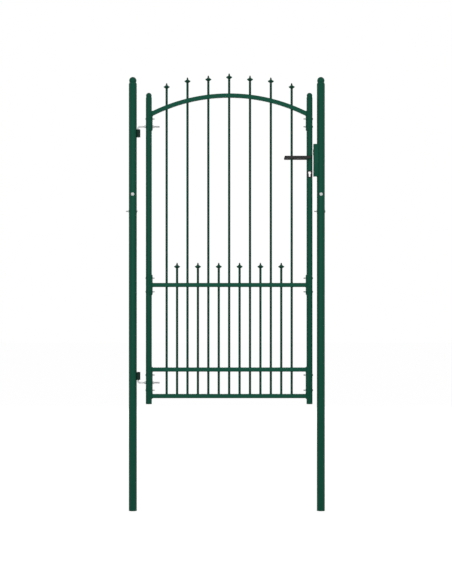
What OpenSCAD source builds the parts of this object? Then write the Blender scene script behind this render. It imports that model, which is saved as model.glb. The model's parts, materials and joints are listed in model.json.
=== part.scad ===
// Round-topped steel fence gate: one leaf of spear-headed pickets, hung between two posts.
// X runs from the hinge post to the latch post, the front faces -Y, and Z is up.
// The origin is the middle of the hinge post's foot. Everything is in millimetres.

/* [Posts] */
// Outer diameter of each post
post_od = 48; // [46:1:50]
// Wall of each post tube
post_wall = 2; // [1.5:0.5:3]
// Height of each post tube, without its cap
post_h = 2555; // [2520:5:2600]
// Height of the bolt that faces the front of each post
front_bolt_z = 1898; // [1850:2:1950]
// Height of the bolt that crosses each post sideways
side_bolt_z = 1796; // [1700:2:1820]

/* [Leaf] */
// Width of the leaf over its two stiles
leaf_w = 1000; // [980:2:1020]
// Open width between hinge post and hinge stile
hinge_gap = 54; // [52:1:60]
// Open width between latch stile and latch post
latch_gap = 26; // [26:1:30]
// Height of the stiles' feet
stile_foot_z = 640; // [630:5:650]
// Length of each stile tube, without its cap
stile_h = 1830; // [1820:5:1840]
// Outer diameter of each stile
stile_od = 36; // [36:1:38]
// Wall of each stile tube
stile_wall = 2; // [1.5:0.5:2]

/* [Rails] */
// Side of the square rail tube
rail_side = 25; // [20:1:28]
// Wall of the rail tube
rail_wall = 1.5; // [1:0.5:2]
// Height of the bottom rail's middle
bottom_rail_z = 688; // [685:1:692]
// Height of the lower rail's middle
lower_rail_z = 847; // [840:1:848]
// Height of the middle rail's middle
middle_rail_z = 1354; // [1350:1:1358]
// Height of the arched rail's middle at its crown
arch_z = 2490; // [2488:1:2492]
// Radius of the arched rail's middle line
arch_r = 1038; // [1030:1:1046]

/* [Pickets] */
// Diameter of the round picket bar
picket_d = 14; // [10:0.5:16]
// Distance between neighbouring long pickets
picket_pitch = 125; // [120:1:130]
// Heights of the long pickets' tips, from the middle outwards
long_tip_z = [2624, 2611, 2600, 2566]; // [2560:1:2640]
// Height of the short pickets' tips
short_tip_z = 1488; // [1450:2:1550]
// Radius of the spears' collar
collar_r = 18; // [14:0.5:20]

/* [Lock] */
// Height of the lever's pivot
lever_z = 2117; // [2115:1:2120]
// Reach of the lever from its pivot to its free end
lever_reach = 151; // [120:1:160]
// Height of the middle of the cylinder hole's round part
keyhole_z = 2026; // [2024:1:2028]
// Height of the latch bolt's middle
latch_z = 2150; // [2149:1:2152]
// How far the latch bolt stands out of the stile
latch_out = 4; // [3:0.5:4]

/* [Hidden] */
$fn = 64;

// Colours
green = "#174c3a";
dark_green = "#0a231b";
black = "#2b2b2b";
zinc = "#c4c6c8";

// Places along X
post_r = post_od / 2;
stile_r = stile_od / 2;
hinge_stile_x = post_r + hinge_gap + stile_r;
latch_stile_x = hinge_stile_x + leaf_w - stile_od;
latch_post_x = latch_stile_x + stile_r + latch_gap + post_r;
middle_x = (hinge_stile_x + latch_stile_x) / 2;
post_xs = [0, latch_post_x];
stile_xs = [hinge_stile_x, latch_stile_x];

// Post caps: a bevelled shoulder, a ball, and a plug in the tube
post_ball_r = 22;
post_ball_up = 25; // ball's middle above the tube's end
post_neck = [0.45, 5]; // ball's middle down to the neck in ball radii, height of the shoulder's lip
plug_h = 18;
plug_gap = 0.1;

// Stile caps
stile_ball_r = 17;
stile_ball_up = 20;
stile_neck = [0.38, 6];

// Hinges: a bent rod turns in a sleeve that is welded to the post
pin_x = 32;
rod_r = 5;
rod_bend_r = 10; // middle line of the bend
rod_end_x = 161;
sleeve_od = 26.7;
sleeve_h = 48;
sleeve_bore_r = 5.1;
upper_sleeve_z = 2239; // foot of the upper sleeve
lower_sleeve_z = 785;
upper_rod_z = 2303;
lower_rod_z = 768;
rod_short = 4; // the rod stops this far inside the sleeve's far end
rod_nut_af = 17;
rod_nut_h = 8;

// Saddles: curved plates between the stiles and the rails
saddle_t = 5;
saddle_r = stile_r + saddle_t;
saddle_arc = 156; // degrees of the stile that a saddle wraps
saddle_taper = 6;
saddle_spans = [[668, 866], [1292, 1418], [2277, 2402]];

// Clamp bolts through stiles and saddles
clamp_zs = [723, 814, 1313, 1395, 2350];
latch_clamp_zs = concat(clamp_zs, [upper_rod_z]);
clamp_r = 3;
clamp_head_r = 6.5;
clamp_head_h = 3.3;
clamp_nut_af = 10;
clamp_nut_h = 5;
clamp_tail = 8;
hole_gap = 0.2; // between a bolt and its hole
thread_gap = 0.05; // between a bolt's shank and its nut
shank_relief = 0.4; // the shank is this much slimmer than the free tail
bolt_bevel = 1;

// Pickets, numbered from the hinge side
function long_x(k) = middle_x + (k - 4) * picket_pitch;
function short_x(k) = middle_x + (k - 3.5) * picket_pitch;
function long_tip(k) = long_tip_z[abs(k - 4)];
long_xs = [for (k = [1:7]) long_x(k)];
short_xs = [for (k = [1:6]) short_x(k)];
picket_foot_z = bottom_rail_z - rail_side / 2 + rail_wall;
punch_gap = 0.1; // between a picket and the rail it crosses

// Spears: a hollow-sided foot, a collar and a blade that narrows to a point
spear_foot_h = 9.5;
spear_foot_waist = [9.8, 4]; // radius and height where the foot starts to spread
spear_collar_h = 5;
spear_blade = [[13, 2], [8.4, 5], [5.2, 9], [4.4, 14], [3.3, 18.5]]; // radii, heights above the collar
spear_tip_r = 0.8;
spear_tip_h = 0.6;
spear_blade_h = 21.5;
spear_h = spear_foot_h + spear_collar_h + spear_blade_h;

// Post bolts
post_bolt_r = 4;
post_bolt_head_r = 10;
post_bolt_head_h = 4.5;
post_nut_af = 13;
post_nut_h = 4;
post_bolt_tail = 13; // free thread past the nut

// Lock
hub_r = 8.2;
neck_r = 7.9;
neck_bore_r = 8;
hub_back_y = 18.6; // hub's inner end, just off the stile
neck_in = 4; // how far the neck reaches into the stile
grip_y = 46.5; // middle of the grip
grip_d = 13;
grip_corner_r = 5;
spindle_w = 8;
spindle_half = 30.6; // half of its length
spindle_bore_r = 6.2;
case_w = [13, 13.5]; // behind and in front of the stile's axis, along X
case_half_d = 8;
case_z = [1990, 2180];
forend_z = [1978, 2192];
forend_half_w = 9;
forend_t = 3;
forend_gap = 0.2;
keyhole_r = 8.75;
keyhole_slot_r = 5.25;
keyhole_slot_drop = 19.5;
rose_r = 14;
rose_drop = 16; // between the middles of the rose's round ends
rose_front_y = 24.5;
latch_half_h = 16;
latch_half_d = 6;
latch_len = 26;
latch_slant = [3.5, 7]; // the nose's slant on the back, along X and Y
latch_gap_side = 0.3;

// Strike box on the latch post
strike_z = [2005, 2199];
strike_clear = 5; // between the latch stile and the box
strike_x = latch_stile_x + stile_r + strike_clear;
strike_half_d = 20;
strike_wall = 2;
strike_corner_r = 6;
strike_slot_half_h = 20;
strike_slot_half_d = 9;

over = 1; // how far a cutter runs past what it cuts
drill_half = 40; // half the length of a drill through a post or a stile

module along_x(x, z) { translate([x, 0, z]) rotate([0, 90, 0]) children(); }
module along_y(x, z) { translate([x, 0, z]) rotate([-90, 0, 0]) children(); }

module tube(od, wall, h) {
    difference() {
        cylinder(d = od, h = h);
        translate([0, 0, -over]) cylinder(d = od - 2 * wall, h = h + 2 * over);
    }
}

// A rod along X or Y that drills a bolt's hole through a tube
module drill_x(x, z, r) { along_x(x - drill_half, z) cylinder(r = r, h = 2 * drill_half); }

module drill_y(x, z, r) {
    along_y(x, z) translate([0, 0, -drill_half]) cylinder(r = r, h = 2 * drill_half);
}

module hex_nut(af, h, bore_r) {
    difference() {
        rotate(30) cylinder(r = af / sqrt(3), h = h, $fn = 6);
        translate([0, 0, -over]) cylinder(r = bore_r, h = h + 2 * over);
    }
}

// A low dome on the plane z = 0
module dome(r, h) {
    ball_r = (r * r + h * h) / (2 * h);
    intersection() {
        translate([0, 0, h - ball_r]) sphere(r = ball_r, $fn = 96);
        cylinder(r = r + over, h = h + over);
    }
}

// Carriage bolt along +Z: its head is under z = 0, and its nut ends at z = grip, where its tail begins
module dome_bolt(r, head_r, head_h, grip, tail) {
    cylinder(r = r - shank_relief, h = grip);
    translate([0, 0, grip]) cylinder(r = r, h = tail - bolt_bevel);
    translate([0, 0, grip + tail - bolt_bevel])
        cylinder(r1 = r, r2 = r - bolt_bevel, h = bolt_bevel);
    mirror([0, 0, 1]) dome(head_r, head_h);
}

// Posts

module post(x) {
    color(green) difference() {
        translate([x, 0, 0]) tube(post_od, post_wall, post_h);
        drill_x(x, side_bolt_z, post_bolt_r + hole_gap);
        drill_y(x, front_bolt_z, post_bolt_r + hole_gap);
    }
}

module ball_cap(tube_r, tube_wall, ball_r, ball_up, neck) {
    lip_h = neck[1];
    neck_z = ball_up - neck[0] * ball_r;
    neck_r = sqrt(ball_r * ball_r - pow(ball_up - neck_z, 2));
    cylinder(r = tube_r, h = lip_h);
    translate([0, 0, lip_h]) cylinder(r1 = tube_r, r2 = neck_r, h = neck_z - lip_h);
    translate([0, 0, ball_up]) sphere(r = ball_r, $fn = 96);
    translate([0, 0, -plug_h]) cylinder(r = tube_r - tube_wall - plug_gap, h = plug_h + over);
}

module post_caps() {
    color(green) for (x = post_xs)
        translate([x, 0, post_h]) ball_cap(post_r, post_wall, post_ball_r, post_ball_up, post_neck);
}

module hinge_sleeve(z) {
    color(dark_green) difference() {
        translate([pin_x, 0, z]) cylinder(d = sleeve_od, h = sleeve_h);
        translate([pin_x, 0, z - over]) cylinder(r = sleeve_bore_r, h = sleeve_h + 2 * over);
        translate([0, 0, z - over]) cylinder(d = post_od, h = sleeve_h + 2 * over);
    }
}

// Rounded on its two outer edges along Z, open towards the post
module strike_section(inset) {
    r = strike_corner_r - inset;
    x0 = strike_x + inset;
    half_d = strike_half_d - inset;
    for (side = [-1, 1]) translate([x0 + r, side * (half_d - r)]) circle(r = r);
    translate([x0 + r, -half_d]) square([latch_post_x - x0 - r, 2 * half_d]);
    translate([x0, r - half_d]) square([2 * r, 2 * (half_d - r)]);
}

module strike_box() {
    strike_h = strike_z[1] - strike_z[0];
    color(green) difference() {
        translate([0, 0, strike_z[0]]) linear_extrude(strike_h) strike_section(0);
        translate([0, 0, strike_z[0] + strike_wall])
            linear_extrude(strike_h - 2 * strike_wall) strike_section(strike_wall);
        translate([latch_post_x, 0, strike_z[0] - over]) cylinder(d = post_od, h = strike_h + 2 * over);
        translate([strike_x - over, -strike_slot_half_d, latch_z - strike_slot_half_h])
            cube([2 * over + strike_wall, 2 * strike_slot_half_d, 2 * strike_slot_half_h]);
    }
}

module post_bolt() {
    dome_bolt(post_bolt_r, post_bolt_head_r, post_bolt_head_h, post_od + post_nut_h, post_bolt_tail);
}

module post_bolts() {
    color(zinc) for (x = post_xs) {
        along_y(x, front_bolt_z) translate([0, 0, -post_r]) post_bolt();
        translate([x + post_r, 0, side_bolt_z]) rotate([0, -90, 0]) post_bolt();
    }
}

module post_nuts() {
    color(zinc) for (x = post_xs) {
        along_y(x, front_bolt_z) translate([0, 0, post_r])
            hex_nut(post_nut_af, post_nut_h, post_bolt_r - shank_relief + thread_gap);
        along_x(x - post_r - post_nut_h, side_bolt_z)
            hex_nut(post_nut_af, post_nut_h, post_bolt_r - shank_relief + thread_gap);
    }
}

// Leaf: stiles

module hinge_stile() {
    color(green) difference() {
        translate([hinge_stile_x, 0, stile_foot_z]) tube(stile_od, stile_wall, stile_h);
        for (z = clamp_zs) drill_x(hinge_stile_x, z, clamp_r + hole_gap);
        for (z = [lower_rod_z, upper_rod_z]) drill_x(hinge_stile_x, z, rod_r + hole_gap);
    }
}

// Round hole with a round-ended slot under it, along Y
module keyhole(r, slot_r) {
    drill_y(latch_stile_x, keyhole_z, r);
    drill_y(latch_stile_x, keyhole_z - keyhole_slot_drop, slot_r);
    translate([latch_stile_x - slot_r, -drill_half, keyhole_z - keyhole_slot_drop])
        cube([2 * slot_r, 2 * drill_half, keyhole_slot_drop]);
}

module forend_block(half_w, z0, z1) {
    translate([latch_stile_x, -half_w, z0]) cube([stile_od, 2 * half_w, z1 - z0]);
}

module latch_stile() {
    color(green) difference() {
        translate([latch_stile_x, 0, stile_foot_z]) tube(stile_od, stile_wall, stile_h);
        for (z = latch_clamp_zs) drill_x(latch_stile_x, z, clamp_r + hole_gap);
        drill_y(latch_stile_x, lever_z, neck_bore_r);
        keyhole(keyhole_r, keyhole_slot_r);
        forend_block(forend_half_w + forend_gap, forend_z[0] - forend_gap, forend_z[1] + forend_gap);
    }
}

module stile_caps() {
    color(green) for (x = stile_xs)
        translate([x, 0, stile_foot_z + stile_h])
            ball_cap(stile_r, stile_wall, stile_ball_r, stile_ball_up, stile_neck);
}

// Leaf: rails

module square_tube(length) {
    inner = rail_side - 2 * rail_wall;
    difference() {
        translate([0, -rail_side / 2, -rail_side / 2]) cube([length, rail_side, rail_side]);
        translate([-over, -inner / 2, -inner / 2]) cube([length + 2 * over, inner, inner]);
    }
}

// What a rail's ends are shaped to
module stile_cutters() {
    for (x = stile_xs) translate([x, 0, stile_foot_z]) cylinder(r = saddle_r, h = stile_h);
}

module picket_cutters(xs, z0, z1) {
    for (x = xs) translate([x, 0, z0]) cylinder(d = picket_d + 2 * punch_gap, h = z1 - z0);
}

// The pickets stand in the bottom rail and pass through the others
module straight_rail(z, hole_foot_z) {
    color(green) difference() {
        translate([hinge_stile_x, 0, z]) square_tube(latch_stile_x - hinge_stile_x);
        stile_cutters();
        picket_cutters(concat(long_xs, short_xs), hole_foot_z, z + rail_side);
    }
}

module bottom_rail() { straight_rail(bottom_rail_z, bottom_rail_z); }
module lower_rail() { straight_rail(lower_rail_z, lower_rail_z - rail_side); }
module middle_rail() { straight_rail(middle_rail_z, middle_rail_z - rail_side); }

module arched_rail() {
    half_angle = asin((latch_stile_x - middle_x) / arch_r);
    color(green) difference() {
        translate([middle_x, 0, arch_z - arch_r]) rotate([90, 0, 0]) rotate(90 - half_angle)
            rotate_extrude(angle = 2 * half_angle, $fn = 360) translate([arch_r, 0]) difference() {
                square(rail_side, center = true);
                square(rail_side - 2 * rail_wall, center = true);
            }
        stile_cutters();
        picket_cutters(long_xs, middle_rail_z, arch_z + rail_side);
    }
}

// Leaf: pickets and spears

module picket(x, tip_z) {
    color(green) translate([x, 0, picket_foot_z])
        cylinder(d = picket_d, h = tip_z - spear_h - picket_foot_z);
}

module long_picket(k) { picket(long_x(k), long_tip(k)); }
module short_picket(k) { picket(short_x(k), short_tip_z); }

module spear(x, tip_z) {
    translate([x, 0, tip_z - spear_h]) rotate_extrude() polygon([
        [0, 0],
        [picket_d / 2, 0],
        spear_foot_waist,
        [collar_r, spear_foot_h],
        [collar_r, spear_foot_h + spear_collar_h],
        for (p = spear_blade) [p[0], p[1] + spear_foot_h + spear_collar_h],
        [spear_tip_r, spear_h - spear_tip_h],
        [0, spear_h]
    ]);
}

module long_spears() { color(green) for (k = [1:7]) spear(long_x(k), long_tip(k)); }
module short_spears() { color(green) for (k = [1:6]) spear(short_x(k), short_tip_z); }

// Leaf: saddles, clamp bolts and hinge rods

module saddle(span) {
    rotate(-saddle_arc / 2) rotate_extrude(angle = saddle_arc) polygon([
        [stile_r, span[0]],
        [saddle_r, span[0] + saddle_taper],
        [saddle_r, span[1] - saddle_taper],
        [stile_r, span[1]]
    ]);
}

module hinge_stile_saddles() {
    color(green) difference() {
        translate([hinge_stile_x, 0, 0]) for (span = saddle_spans) saddle(span);
        for (z = clamp_zs) drill_x(hinge_stile_x, z, clamp_r + hole_gap);
        for (z = [lower_rod_z, upper_rod_z]) drill_x(hinge_stile_x, z, rod_r + hole_gap);
    }
}

module latch_stile_saddles() {
    color(green) difference() {
        translate([latch_stile_x, 0, 0]) rotate(180) for (span = saddle_spans) saddle(span);
        for (z = latch_clamp_zs) drill_x(latch_stile_x, z, clamp_r + hole_gap);
    }
}

module clamp_bolt() {
    dome_bolt(clamp_r, clamp_head_r, clamp_head_h, stile_r + saddle_r + clamp_nut_h, clamp_tail);
}

module hinge_side_bolts() {
    color(zinc) for (z = clamp_zs) along_x(hinge_stile_x - stile_r, z) clamp_bolt();
}

module latch_side_bolts() {
    color(green) for (z = latch_clamp_zs)
        translate([latch_stile_x + stile_r, 0, z]) rotate([0, -90, 0]) clamp_bolt();
}

module clamp_nuts() {
    color(zinc) {
        for (z = clamp_zs) along_x(hinge_stile_x + saddle_r, z)
            hex_nut(clamp_nut_af, clamp_nut_h, clamp_r - shank_relief + thread_gap);
        for (z = latch_clamp_zs) along_x(latch_stile_x - saddle_r - clamp_nut_h, z)
            hex_nut(clamp_nut_af, clamp_nut_h, clamp_r - shank_relief + thread_gap);
    }
}

// Rod along +X from the pin's axis, bent down into its sleeve: drop is the pin's length
module hinge_rod(drop) {
    color(zinc) {
        translate([rod_bend_r, 0, 0]) rotate([0, 90, 0])
            cylinder(r = rod_r, h = rod_end_x - pin_x - rod_bend_r);
        translate([rod_bend_r, 0, -rod_bend_r]) rotate([90, 0, 0]) rotate(90)
            rotate_extrude(angle = 90) translate([rod_bend_r, 0]) circle(r = rod_r);
        translate([0, 0, -drop]) cylinder(r = rod_r, h = drop - rod_bend_r);
    }
}

module upper_hinge_bolt() {
    translate([pin_x, 0, upper_rod_z]) hinge_rod(upper_rod_z - upper_sleeve_z - rod_short);
}

module lower_hinge_bolt() {
    drop = lower_sleeve_z + sleeve_h - rod_short - lower_rod_z;
    translate([pin_x, 0, lower_rod_z]) mirror([0, 0, 1]) hinge_rod(drop);
}

module hinge_nuts() {
    color(zinc) for (z = [lower_rod_z, upper_rod_z])
        for (x = [hinge_stile_x - stile_r - rod_nut_h, hinge_stile_x + saddle_r])
            along_x(x, z) hex_nut(rod_nut_af, rod_nut_h, rod_r + thread_gap);
}

// Leaf: lock

module lock_case() {
    color(zinc) difference() {
        union() {
            translate([latch_stile_x - case_w[0], -case_half_d, case_z[0]])
                cube([case_w[0] + case_w[1], 2 * case_half_d, case_z[1] - case_z[0]]);
            intersection() {
                translate([latch_stile_x, 0, forend_z[0]])
                    tube(stile_od, forend_t, forend_z[1] - forend_z[0]);
                forend_block(forend_half_w, forend_z[0], forend_z[1]);
            }
        }
        drill_y(latch_stile_x, lever_z, spindle_bore_r);
        keyhole(keyhole_r, keyhole_slot_r);
        translate([latch_stile_x + stile_r - latch_len, -latch_half_d - latch_gap_side,
                   latch_z - latch_half_h - latch_gap_side])
            cube([latch_len + over, 2 * (latch_half_d + latch_gap_side),
                  2 * (latch_half_h + latch_gap_side)]);
    }
}

// Flat plate with round ends, from one side of the stile to the other
module rose_plate() {
    for (drop = [0, rose_drop]) along_y(latch_stile_x, keyhole_z - drop)
        translate([0, 0, -rose_front_y]) cylinder(r = rose_r, h = 2 * rose_front_y);
    translate([latch_stile_x - rose_r, -rose_front_y, keyhole_z - rose_drop])
        cube([2 * rose_r, 2 * rose_front_y, rose_drop]);
}

module cylinder_roses() {
    color(black) difference() {
        rose_plate();
        translate([latch_stile_x, 0, stile_foot_z]) cylinder(r = stile_r, h = stile_h);
        keyhole(keyhole_r, keyhole_slot_r);
    }
}

// Lever: the same handle on both sides, on one square spindle

module grip_section() {
    for (y = [-1, 1], z = [-1, 1])
        translate([y * (grip_d / 2 - grip_corner_r), z * (hub_r - grip_corner_r)])
            circle(r = grip_corner_r);
    square([grip_d, 2 * (hub_r - grip_corner_r)], center = true);
    square([grip_d - 2 * grip_corner_r, 2 * hub_r], center = true);
}

// Handle on the +Y side of the pivot, its grip towards -X
module handle() {
    difference() {
        union() {
            translate([0, grip_y, 0]) rotate([90, 0, -90]) linear_extrude(lever_reach) grip_section();
            along_y(0, 0) {
                translate([0, 0, hub_back_y])
                    cylinder(r = hub_r, h = grip_y + grip_d / 2 - hub_back_y);
                translate([0, 0, stile_r - neck_in])
                    cylinder(r = neck_r, h = neck_in + hub_back_y - stile_r + over);
            }
        }
        translate([-spindle_w / 2, 0, -spindle_w / 2])
            cube([spindle_w, spindle_half, spindle_w]);
    }
}

module back_lever() { color(black) translate([latch_stile_x, 0, lever_z]) handle(); }

module front_lever() {
    color(black) translate([latch_stile_x, 0, lever_z]) mirror([0, 1, 0]) handle();
}

module lever_spindle() {
    color(zinc) translate([latch_stile_x, 0, lever_z])
        cube([spindle_w, 2 * spindle_half, spindle_w], center = true);
}

module latch_bolt() {
    nose_x = stile_r + latch_out;
    tail_x = nose_x - latch_len;
    color(zinc) translate([latch_stile_x, 0, latch_z - latch_half_h])
        linear_extrude(2 * latch_half_h) polygon([
            [tail_x, -latch_half_d],
            [nose_x, -latch_half_d],
            [nose_x, latch_half_d - latch_slant[1]],
            [nose_x - latch_slant[0], latch_half_d],
            [tail_x, latch_half_d]
        ]);
}

post(0);  // hinge_post
post(latch_post_x);  // latch_post
post_caps();
hinge_sleeve(upper_sleeve_z);  // upper_hinge_sleeve
hinge_sleeve(lower_sleeve_z);  // lower_hinge_sleeve
strike_box();
post_bolts();
post_nuts();
hinge_stile();
latch_stile();
stile_caps();
bottom_rail();
lower_rail();
middle_rail();
arched_rail();
long_picket(1);  // long_picket_1
long_picket(2);  // long_picket_2
long_picket(3);  // long_picket_3
long_picket(4);  // long_picket_4
long_picket(5);  // long_picket_5
long_picket(6);  // long_picket_6
long_picket(7);  // long_picket_7
short_picket(1);  // short_picket_1
short_picket(2);  // short_picket_2
short_picket(3);  // short_picket_3
short_picket(4);  // short_picket_4
short_picket(5);  // short_picket_5
short_picket(6);  // short_picket_6
long_spears();
short_spears();
hinge_stile_saddles();
latch_stile_saddles();
hinge_side_bolts();
latch_side_bolts();
clamp_nuts();
upper_hinge_bolt();
lower_hinge_bolt();
hinge_nuts();
lock_case();
cylinder_roses();
front_lever();
back_lever();
lever_spindle();
latch_bolt();
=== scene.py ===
# Green steel fence gate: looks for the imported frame. Metres, +Z up, the front faces -Y.
import json
import math

import bpy
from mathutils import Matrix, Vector


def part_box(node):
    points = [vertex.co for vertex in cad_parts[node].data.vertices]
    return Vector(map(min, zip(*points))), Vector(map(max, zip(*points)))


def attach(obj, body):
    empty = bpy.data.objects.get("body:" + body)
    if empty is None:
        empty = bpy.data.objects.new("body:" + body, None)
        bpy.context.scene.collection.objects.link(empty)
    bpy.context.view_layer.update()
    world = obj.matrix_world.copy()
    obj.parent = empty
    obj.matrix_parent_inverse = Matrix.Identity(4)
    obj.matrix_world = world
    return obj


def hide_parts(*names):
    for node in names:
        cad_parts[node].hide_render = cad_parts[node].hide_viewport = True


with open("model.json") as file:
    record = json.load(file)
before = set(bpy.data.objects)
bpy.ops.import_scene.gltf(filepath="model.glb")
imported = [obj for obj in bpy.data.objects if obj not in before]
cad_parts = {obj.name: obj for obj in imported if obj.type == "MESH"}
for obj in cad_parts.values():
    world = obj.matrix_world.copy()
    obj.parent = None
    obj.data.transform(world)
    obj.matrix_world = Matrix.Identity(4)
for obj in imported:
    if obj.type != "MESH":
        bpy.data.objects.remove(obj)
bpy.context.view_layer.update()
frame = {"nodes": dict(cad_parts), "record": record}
print("frame loaded:", len(frame["nodes"]), "nodes")

mm = 0.001
postRadius = 24 * mm
stileRadius = 18 * mm


def middleOf(node):
    low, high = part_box(node)
    return (low + high) / 2


# Places that the frame gives
hingePostX = middleOf("hinge_post").x
latchPostX = middleOf("latch_post").x
hingeStileX = middleOf("hinge_stile").x
latchStileX = middleOf("latch_stile").x
gateMiddleX = (hingeStileX + latchStileX) / 2
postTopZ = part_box("hinge_post")[1].z
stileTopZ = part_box("hinge_stile")[1].z
straightRails = ("bottom_rail", "lower_rail", "middle_rail")
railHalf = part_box("lower_rail")[1].y
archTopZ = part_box("arched_rail")[1].z
leverZ = middleOf("lever_spindle").z
latchZ = middleOf("latch_bolt").z
longPicketXs = [middleOf("long_picket_" + str(k)).x for k in range(1, 8)]
shortPicketXs = [middleOf("short_picket_" + str(k)).x for k in range(1, 7)]
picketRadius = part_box("long_picket_1")[1].y


# Camera, surroundings and lamps

view = {"distance": 9.0, "height": 1.312, "aside": -0.019, "lens": 92.47, "sensor": 36.0}


def makeCamera():
    data = bpy.data.cameras.new("frontCamera")
    data.lens = view["lens"]
    data.sensor_width = view["sensor"]
    data.clip_end = 100
    camera = bpy.data.objects.new("frontCamera", data)
    bpy.context.scene.collection.objects.link(camera)
    camera.location = (gateMiddleX + view["aside"], -view["distance"], view["height"])
    camera.rotation_euler = (math.pi / 2, 0, 0)
    bpy.context.scene.camera = camera


studio = {
    "ambient": 0.60,  # strength of the white surroundings on matt surfaces
    "frontPower": 400.0, "frontSize": 8.0, "frontAt": (0.56, -7.5, 1.5),
    "backPower": 130.0, "backSize": 5.0, "backAt": (0.56, 7.5, 3.2),
    "floorSize": 60.0, "floorGlow": 0.78, "floorGrey": 0.35,
}


# 1 for what the camera sees, also in reflections and through glass,
# and 0 for the light on matt surfaces
def seenRays(tree):
    path = tree.nodes.new("ShaderNodeLightPath")
    total = path.outputs["Is Camera Ray"]
    for ray in ("Is Glossy Ray", "Is Transmission Ray"):
        most = tree.nodes.new("ShaderNodeMath")
        most.operation = "MAXIMUM"
        tree.links.new(total, most.inputs[0])
        tree.links.new(path.outputs[ray], most.inputs[1])
        total = most.outputs[0]
    return total


def makeSurroundings():
    world = bpy.data.worlds.new("whiteStudio")
    world.use_nodes = True
    tree = world.node_tree
    sky = tree.nodes["Background"]
    sky.inputs["Color"].default_value = (1, 1, 1, 1)
    level = tree.nodes.new("ShaderNodeMapRange")
    level.inputs["To Min"].default_value = studio["ambient"]
    level.inputs["To Max"].default_value = 1.0
    tree.links.new(seenRays(tree), level.inputs["Value"])
    tree.links.new(level.outputs["Result"], sky.inputs["Strength"])
    bpy.context.scene.world = world


def makeFloor():
    bpy.ops.object.select_all(action="DESELECT")
    bpy.ops.mesh.primitive_plane_add(size=studio["floorSize"], location=(gateMiddleX, 0, -0.5 * mm))
    floor = bpy.context.object
    floor.name = "studioFloor"
    bpy.ops.object.transform_apply(location=True, rotation=True, scale=True)
    material = bpy.data.materials.new("paleFloor")
    material.use_nodes = True
    tree = material.node_tree
    tree.nodes.clear()
    matt = tree.nodes.new("ShaderNodeBsdfDiffuse")
    matt.inputs["Color"].default_value = (studio["floorGrey"],) * 3 + (1,)
    glow = tree.nodes.new("ShaderNodeEmission")
    level = tree.nodes.new("ShaderNodeMath")
    level.operation = "MULTIPLY"
    level.inputs[1].default_value = studio["floorGlow"]
    both = tree.nodes.new("ShaderNodeAddShader")
    out = tree.nodes.new("ShaderNodeOutputMaterial")
    tree.links.new(seenRays(tree), level.inputs[0])
    tree.links.new(level.outputs[0], glow.inputs["Strength"])
    tree.links.new(matt.outputs[0], both.inputs[0])
    tree.links.new(glow.outputs[0], both.inputs[1])
    tree.links.new(both.outputs[0], out.inputs["Surface"])
    floor.data.materials.append(material)


def makeLamp(name, power, size, spot):
    data = bpy.data.lights.new(name, "AREA")
    data.energy = power
    data.size = size
    lamp = bpy.data.objects.new(name, data)
    bpy.context.scene.collection.objects.link(lamp)
    lamp.location = spot
    aim = Vector((gateMiddleX, 0, view["height"])) - Vector(spot)
    lamp.rotation_euler = aim.to_track_quat("-Z", "Y").to_euler()


makeCamera()
bpy.context.scene.view_settings.view_transform = "Standard"
makeSurroundings()
makeFloor()
makeLamp("frontSoftbox", studio["frontPower"], studio["frontSize"], studio["frontAt"])
makeLamp("backSoftbox", studio["backPower"], studio["backSize"], studio["backAt"])
print("camera, floor and lamps placed")


# Finishes

coatLook = {
    "color": (0.0066, 0.0715, 0.0418), "dark": (0.0058, 0.0655, 0.0382),
    "roughness": (0.40, 0.50), "specular": 0.14, "tint": (0.40, 1.0, 0.8),
    "blotch": 9.0, "peel": 480.0, "peelDepth": 0.010 * mm,
}
# Painted shade: the thin bars get a darker copy of the green coat, standing in for the shade on their
# round sides
shadedBarLook = {
    "color": (0.0046, 0.0490, 0.0287), "dark": (0.0040, 0.0449, 0.0262),
    "roughness": (0.40, 0.50), "specular": 0.10, "tint": (0.40, 1.0, 0.8),
    "blotch": 9.0, "peel": 480.0, "peelDepth": 0.010 * mm,
}
# Painted shade: the sleeves' coat is near-black green, standing in for the shade on the sleeves and in
# their crevice against the post; the middle highlight comes from the gloss
shadedSleeveLook = {
    "color": (0.0009, 0.0080, 0.0050), "dark": (0.0007, 0.0064, 0.0040),
    "roughness": (0.20, 0.30), "specular": 0.17, "tint": (0.45, 1.0, 0.8),
    "blotch": 30.0, "peel": 480.0, "peelDepth": 0.010 * mm,
}
zincLook = {
    "color": (0.62, 0.625, 0.63), "dark": (0.53, 0.535, 0.54), "metal": 0.3,
    "roughness": (0.30, 0.46), "blotch": 160.0, "grain": 1400.0, "grainDepth": 0.008 * mm,
}
steelLook = {
    "color": (0.36, 0.36, 0.355), "dark": (0.28, 0.28, 0.276), "metal": 1.0,
    "roughness": (0.28, 0.40), "brush": (900.0, 900.0, 30.0), "brushDepth": 0.008 * mm,
}
# Painted light: a paler copy of the lock steel, so the latch reads bright in the shaded gap between
# stile and strike box
litLatchLook = {
    "color": (0.76, 0.76, 0.75), "dark": (0.66, 0.66, 0.65), "metal": 0.45,
    "roughness": (0.28, 0.40), "brush": (900.0, 900.0, 30.0), "brushDepth": 0.008 * mm,
}
plasticLook = {
    "color": (0.0095, 0.0093, 0.0092), "dark": (0.0076, 0.0074, 0.0073),
    "roughness": (0.46, 0.60), "specular": 0.24, "blotch": 40.0, "grain": 1500.0,
    "grainDepth": 0.015 * mm,
}


def newFinish(name):
    material = bpy.data.materials.new(name)
    material.use_nodes = True
    return material, material.node_tree, material.node_tree.nodes["Principled BSDF"]


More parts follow.
